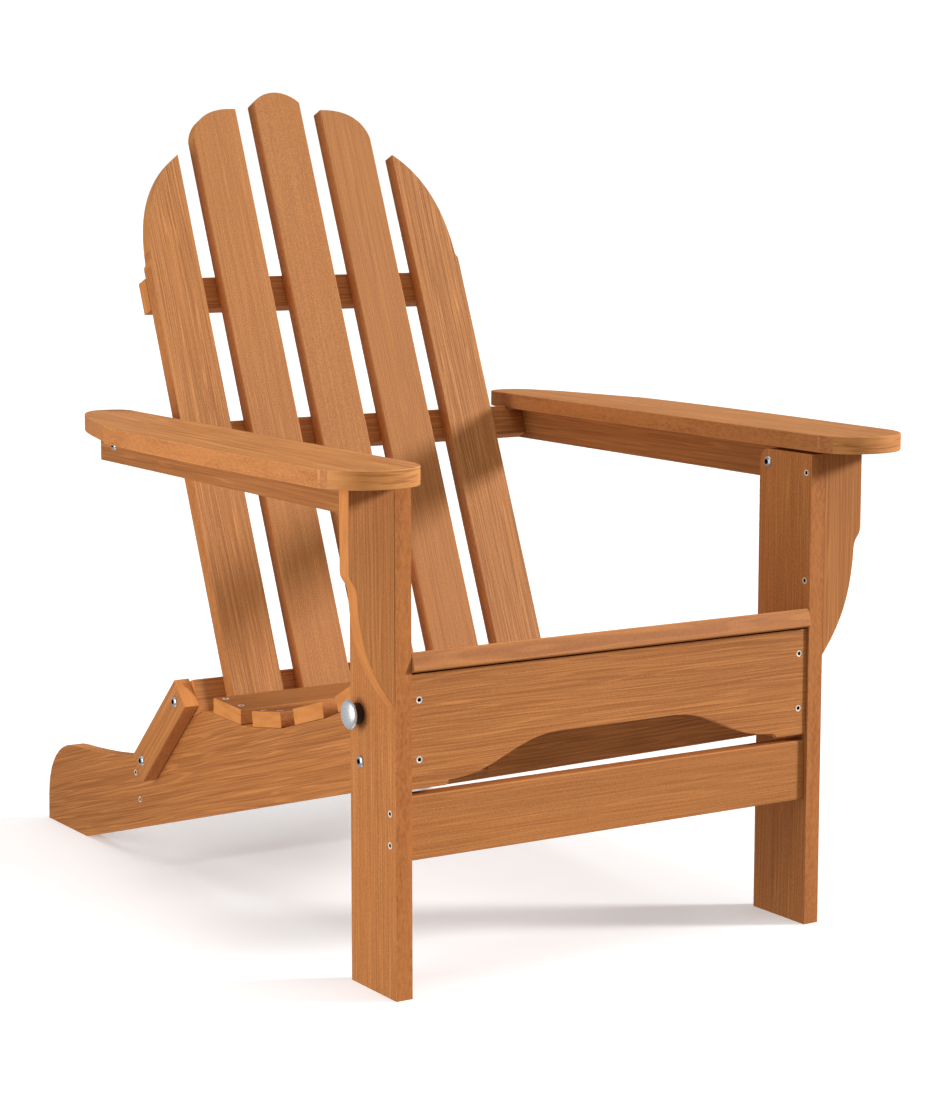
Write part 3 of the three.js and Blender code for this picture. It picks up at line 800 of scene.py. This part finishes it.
def seat_screws():
    """Two screws near each end of every seat slat, square to its upper face."""
    for name in [node for node in BOARDS if node.startswith("seat_slat")]:
        up = square_to(name)
        up = up if up.z > 0 else -up
        rear = max(outermost(name, up), key=lambda corner: corner.y)
        forward = Vector((0, -up.z, up.y))
        for side, sign in (("right", -1), ("left", 1)):
            for row, distance in enumerate(SEAT_SCREW_ROWS):
                point = Vector((sign * SEAT_SCREW_LINE, rear.y, rear.z)) + forward * distance
                surface_screw(f"{name}_screw_{side}_{row + 1}", point, up, body_of_node(name))


def back_screws():
    """Two screws through each back rail into each back slat, seen from behind."""
    for rail in ("back_rail_low", "back_rail_arm_height", "back_rail_top"):
        rearward = square_to(rail)
        rearward = rearward if rearward.y > 0 else -rearward
        outer = outermost(rail, rearward)
        middle = sum(outer, Vector((0, 0, 0))) / len(outer)
        upward = Vector((0, -rearward.z, rearward.y))
        heights = [corner.dot(upward) for corner in outer]
        level = (min(heights) + max(heights)) / 2
        middle += upward * (level - middle.dot(upward))
        for index in range(BACK_SLATS):
            low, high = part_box(f"back_slat_{index + 1}")
            centre = (low.x + high.x) / 2
            for step in (-1, 1):
                point = Vector((centre + step * BACK_SCREW_OFFSET, middle.y, middle.z))
                number = 2 * index + (1 if step < 0 else 2)
                surface_screw(f"{rail}_screw_{number}", point, rearward, "back")


def arm_screws():
    """Four screws up through each arm rail into the arm board."""
    for side in ("right", "left"):
        low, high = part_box(f"arm_rail_{side}")
        across = (low.x + high.x) / 2
        corners = corners_of(f"arm_rail_{side}")
        # The lowest corner, and of those that are about as low, the foremost one.
        front = min(corners, key=lambda corner: corner.z + 0.02 * corner.y)
        underside = [corner for corner in corners if corner.z < low.z + UNDERSIDE_REACH]
        rear = max(underside, key=lambda corner: corner.y)
        for row, share in enumerate(ARM_SCREW_SHARES):
            point = front.lerp(rear, share)
            point.x = across
            surface_screw(f"arm_screw_{side}_{row + 1}", point, Vector((0, 0, -1)), f"{side}_arm")


seat_screws()
back_screws()
arm_screws()


# ---- lock knobs ----


def lock_knob(side):
    """The domed turned knob with its pin, and the sleeve behind it."""
    name = f"lock_knob_{side}"
    sleeve_name = f"lock_sleeve_{side}"
    look = head_direction(name)
    low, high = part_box(name)
    sleeve_low, sleeve_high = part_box(sleeve_name)
    centre = (low + high) / 2
    reach = high.x - low.x
    radius = (high.z - low.z) / 2
    tip = centre + look * reach / 2
    sleeve_outer = sleeve_high.x if look.x > 0 else sleeve_low.x
    back = -abs(tip.x - sleeve_outer) + 0.3 * MM
    rim = 1.5 * MM
    ease = 0.4 * MM
    rise = -back - rim
    dome = []
    for step in range(DOME_STEPS):
        turn = 0.5 * math.pi * step / DOME_STEPS
        dome.append((back + rim + rise * math.sin(turn), (radius - ease) * math.cos(turn)))
    rings = [
        (-reach, 0.8 * PIN_RADIUS),
        (-reach + 1.2 * MM, PIN_RADIUS),
        (back, PIN_RADIUS),
        (back, radius - 1.6 * MM),
        (back + 0.5 * MM, radius - ease),
        (back + 0.9 * MM, radius),
        (back + rim, radius),
        *dome,
        (0.0, ease),
    ]
    mesh = ring_solid(name + "_fine", rings, KNOB_SIDES)
    placed(mesh, tip, look)
    knob = add_piece(name + "_fine", mesh, body_of_node(name), [ALUMINIUM])
    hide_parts(name)
    lock_sleeve(sleeve_name, look)


def lock_sleeve(name, look):
    """The plain rubber sleeve behind a knob, with eased rims and a bore for the pin."""
    low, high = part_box(name)
    centre = (low + high) / 2
    half = (high.x - low.x) / 2
    radius = (high.z - low.z) / 2
    ease = 0.6 * MM
    bore = 4.8 * MM
    rings = [
        (-half, bore),
        (-half, radius - ease),
        (-half + ease, radius),
        (half - ease, radius),
        (half, radius - ease),
        (half, bore),
    ]
    mesh = tube_solid(name + "_fine", rings, KNOB_SIDES)
    placed(mesh, centre, look)
    sleeve = add_piece(name + "_fine", mesh, body_of_node(name), [RUBBER])
    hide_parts(name)


for which in ("right", "left"):
    lock_knob(which)


# ---- floor, light and camera ----


def glowing_material(name, base, glow):
    """A matt surface that gives off some white light of its own."""
    shader = Shader(name)
    shader.set(Base_Color=base, Roughness=1.0)
    shader.set(Emission_Color=WHITE, Emission_Strength=glow)
    return shader.material


def keep_off_the_chair(thing):
    """Lets the camera see a thing that neither lights nor shades the chair, nor shows in its gloss."""
    thing.visible_diffuse = False
    thing.visible_glossy = False
    thing.visible_shadow = False


def pale_floor():
    """The ground, which shows the chair's soft shadow."""
    bpy.ops.mesh.primitive_plane_add(size=FLOOR_SIZE)
    floor = bpy.context.object
    floor.name = "floor"
    floor.data.materials.append(glowing_material("floor", FLOOR_COLOUR, FLOOR_GLOW))
    keep_off_the_chair(floor)


def white_backdrop():
    """A white dome round everything, for the camera only."""
    bpy.ops.mesh.primitive_uv_sphere_add(segments=64, ring_count=32, radius=DOME_RADIUS)
    dome = bpy.context.object
    dome.name = "backdrop"
    dome.data.materials.append(glowing_material("backdrop", BLACK, DOME_GLOW))
    keep_off_the_chair(dome)


def ambient_light():
    """Even light from all round."""
    world = bpy.data.worlds.new("studio")
    world.use_nodes = True
    background = world.node_tree.nodes["Background"]
    background.inputs[0].default_value = WHITE
    background.inputs[1].default_value = AMBIENT
    bpy.context.scene.world = world


def studio():
    """A pale floor and a white backdrop, even light all round, and four lights.

    The key shines low from the sitter's left and a little in front, the top light from above, the bounce
    from below as if off the floor, and the fill from the sitter's right.
    """
    pale_floor()
    white_backdrop()
    ambient_light()
    soft_sun("key", *KEY_SUN)
    soft_sun("top", *TOP_SUN)
    soft_sun("bounce", *BOUNCE_SUN)
    soft_light("fill", FILL_PLACE, FILL_SIZE, FILL_POWER)


def soft_sun(name, source, spread, power):
    """Parallel light that comes from the direction of source, softened by its spread in degrees."""
    data = bpy.data.lights.new(name, "SUN")
    data.angle = math.radians(spread)
    data.energy = power
    light = bpy.data.objects.new(name, data)
    light.location = Vector(source) * 3
    light.rotation_euler = (-Vector(source)).to_track_quat("-Z", "Y").to_euler()
    bpy.context.scene.collection.objects.link(light)


def soft_light(name, place, size, power):
    """A square soft light that faces the middle of the chair."""
    data = bpy.data.lights.new(name, "AREA")
    data.shape = "SQUARE"
    data.size = size
    data.energy = power
    light = bpy.data.objects.new(name, data)
    light.location = place
    light.rotation_euler = (Vector(FILL_TARGET) - Vector(place)).to_track_quat("-Z", "Y").to_euler()
    bpy.context.scene.collection.objects.link(light)


def camera():
    """The camera, level from side to side and tipped down a little."""
    data = bpy.data.cameras.new("camera")
    data.lens = CAMERA_LENS
    data.sensor_width = CAMERA_SENSOR
    made = bpy.data.objects.new("camera", data)
    made.location = CAMERA_PLACE
    made.rotation_euler = (math.pi / 2 - CAMERA_DIP, 0, CAMERA_AZIMUTH)
    bpy.context.scene.collection.objects.link(made)
    bpy.context.scene.camera = made


studio()
camera()
bpy.context.scene.view_settings.view_transform = "Standard"
